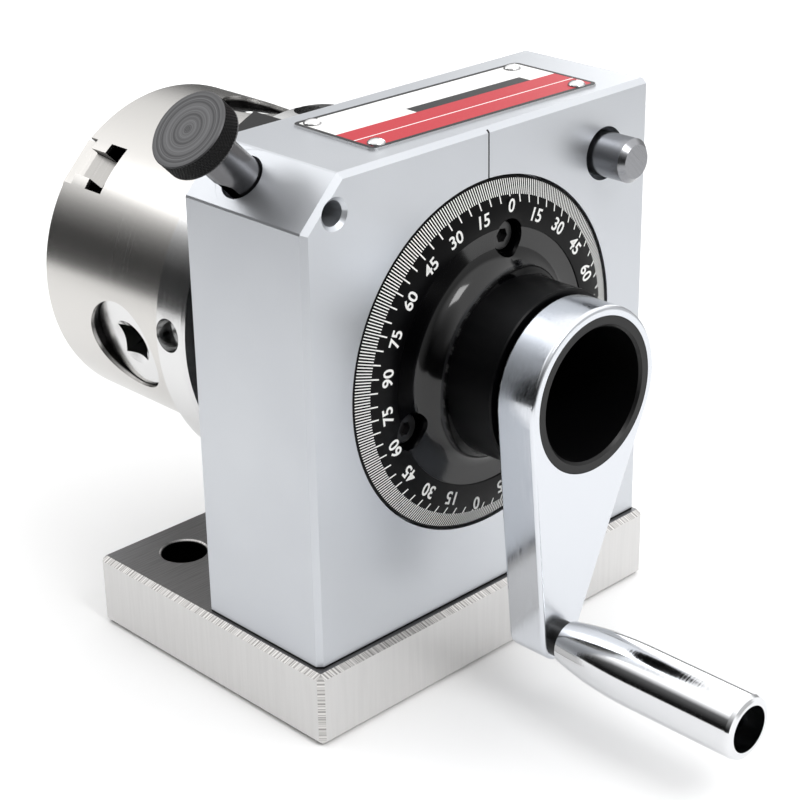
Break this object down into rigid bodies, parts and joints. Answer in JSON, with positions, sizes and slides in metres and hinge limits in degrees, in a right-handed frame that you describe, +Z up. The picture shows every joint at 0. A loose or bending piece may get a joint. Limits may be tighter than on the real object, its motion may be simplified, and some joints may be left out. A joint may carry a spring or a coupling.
{
  "type": "punch former",
  "caption": "Punch forming fixture: base plate, upright body, indexed hollow spindle with dial and crank in front and a scroll chuck behind.",
  "frame": {"origin": "centre of the base plate's underside", "axes": "+Z up, the dial and crank face -Y, the chuck faces +Y"},
  "size_m": [0.1208, 0.2081, 0.1423],
  "materials": {
    "ground_steel": "surface ground steel",
    "satin_steel": "satin ground steel",
    "bright_steel": "bright turned steel",
    "chuck_steel": "bright ground steel",
    "black_steel": "black oxide",
    "chrome_steel": "polished chrome plating",
    "plate_face": "printed sheet aluminium"
  },
  "bodies": {
    "base": {"base_plate": "ground_steel", "body_block": "satin_steel", "base_screws": "black_steel", "base_dowels": "bright_steel", "bore_liner": "bright_steel", "thrust_washer": "black_steel", "stop_pin": "bright_steel", "name_plate": "plate_face", "plate_rivets": "bright_steel", "plunger_bush": "satin_steel", "plunger_key": "black_steel", "plunger_set_screw": "black_steel"},
    "plunger": {"index_pin": "bright_steel", "plunger_stem": "bright_steel", "plunger_knob": "black_steel", "plunger_spring": "bright_steel"},
    "spindle_group": {"spindle": "black_steel", "index_ring": "bright_steel", "dial": "black_steel", "dial_screws": "black_steel", "crank_arm": "chrome_steel", "handle_axle": "black_steel", "chuck_adapter": "bright_steel", "rim_block": "black_steel", "rim_screw": "black_steel", "nose_screws": "black_steel", "chuck_bolts": "black_steel", "centring_screws": "black_steel", "chuck_body": "chuck_steel", "chuck_cover": "chuck_steel", "cover_screws": "black_steel", "pinion_keepers": "bright_steel"},
    "grip": {"handle_grip": "chrome_steel"},
    "scroll_wheel": {"scroll": "bright_steel"},
    "slide_1": {"jaw_1": "chuck_steel"},
    "slide_2": {"jaw_2": "chuck_steel"},
    "slide_3": {"jaw_3": "chuck_steel"},
    "key_1": {"pinion_1": "bright_steel"},
    "key_2": {"pinion_2": "bright_steel"},
    "key_3": {"pinion_3": "bright_steel"}
  },
  "joints": [
    {"name": "spindle_turn", "type": "hinge", "parent": "base", "child": "spindle_group", "pos_m": [0, 0, 0.076], "axis": [0, 1, 0], "continuous": true},
    {"name": "plunger_slide", "type": "slide", "parent": "base", "child": "plunger", "axis": [0.7071, 0, -0.7071], "range_m": [0, 0.006]},
    {"name": "grip_spin", "type": "hinge", "parent": "spindle_group", "child": "grip", "pos_m": [-0.00972, -0.09, 0.02085], "axis": [0, 1, 0], "continuous": true},
    {"name": "scroll_turn", "type": "hinge", "parent": "spindle_group", "child": "scroll_wheel", "pos_m": [0, 0.054, 0.076], "axis": [0, 1, 0], "range_deg": [0, 720]},
    {"name": "jaw_1_slide", "type": "slide", "parent": "spindle_group", "child": "slide_1", "axis": [-0.9659, 0, -0.2588], "range_m": [0, 0.008]},
    {"name": "jaw_2_slide", "type": "slide", "parent": "spindle_group", "child": "slide_2", "axis": [0.2588, 0, 0.9659], "range_m": [0, 0.008]},
    {"name": "jaw_3_slide", "type": "slide", "parent": "spindle_group", "child": "slide_3", "axis": [0.7071, 0, -0.7071], "range_m": [0, 0.008]},
    {"name": "pinion_1_turn", "type": "hinge", "parent": "spindle_group", "child": "key_1", "pos_m": [0.00777, 0.045, 0.10498], "axis": [0.2588, 0, 0.9659], "range_deg": [-4320, 0]},
    {"name": "pinion_2_turn", "type": "hinge", "parent": "spindle_group", "child": "key_2", "pos_m": [0.02121, 0.045, 0.05479], "axis": [0.7071, 0, -0.7071], "range_deg": [-4320, 0]},
    {"name": "pinion_3_turn", "type": "hinge", "parent": "spindle_group", "child": "key_3", "pos_m": [-0.02898, 0.045, 0.06824], "axis": [-0.9659, 0, -0.2588], "range_deg": [-4320, 0]}
  ],
  "couplings": [
    {"joint": "jaw_1_slide", "follows": "scroll_turn", "m_per_rad": 0.0006366},
    {"joint": "jaw_2_slide", "follows": "scroll_turn", "m_per_rad": 0.0006366},
    {"joint": "jaw_3_slide", "follows": "scroll_turn", "m_per_rad": 0.0006366},
    {"joint": "pinion_1_turn", "follows": "scroll_turn", "ratio": -6},
    {"joint": "pinion_2_turn", "follows": "scroll_turn", "ratio": -6},
    {"joint": "pinion_3_turn", "follows": "scroll_turn", "ratio": -6}
  ]
}
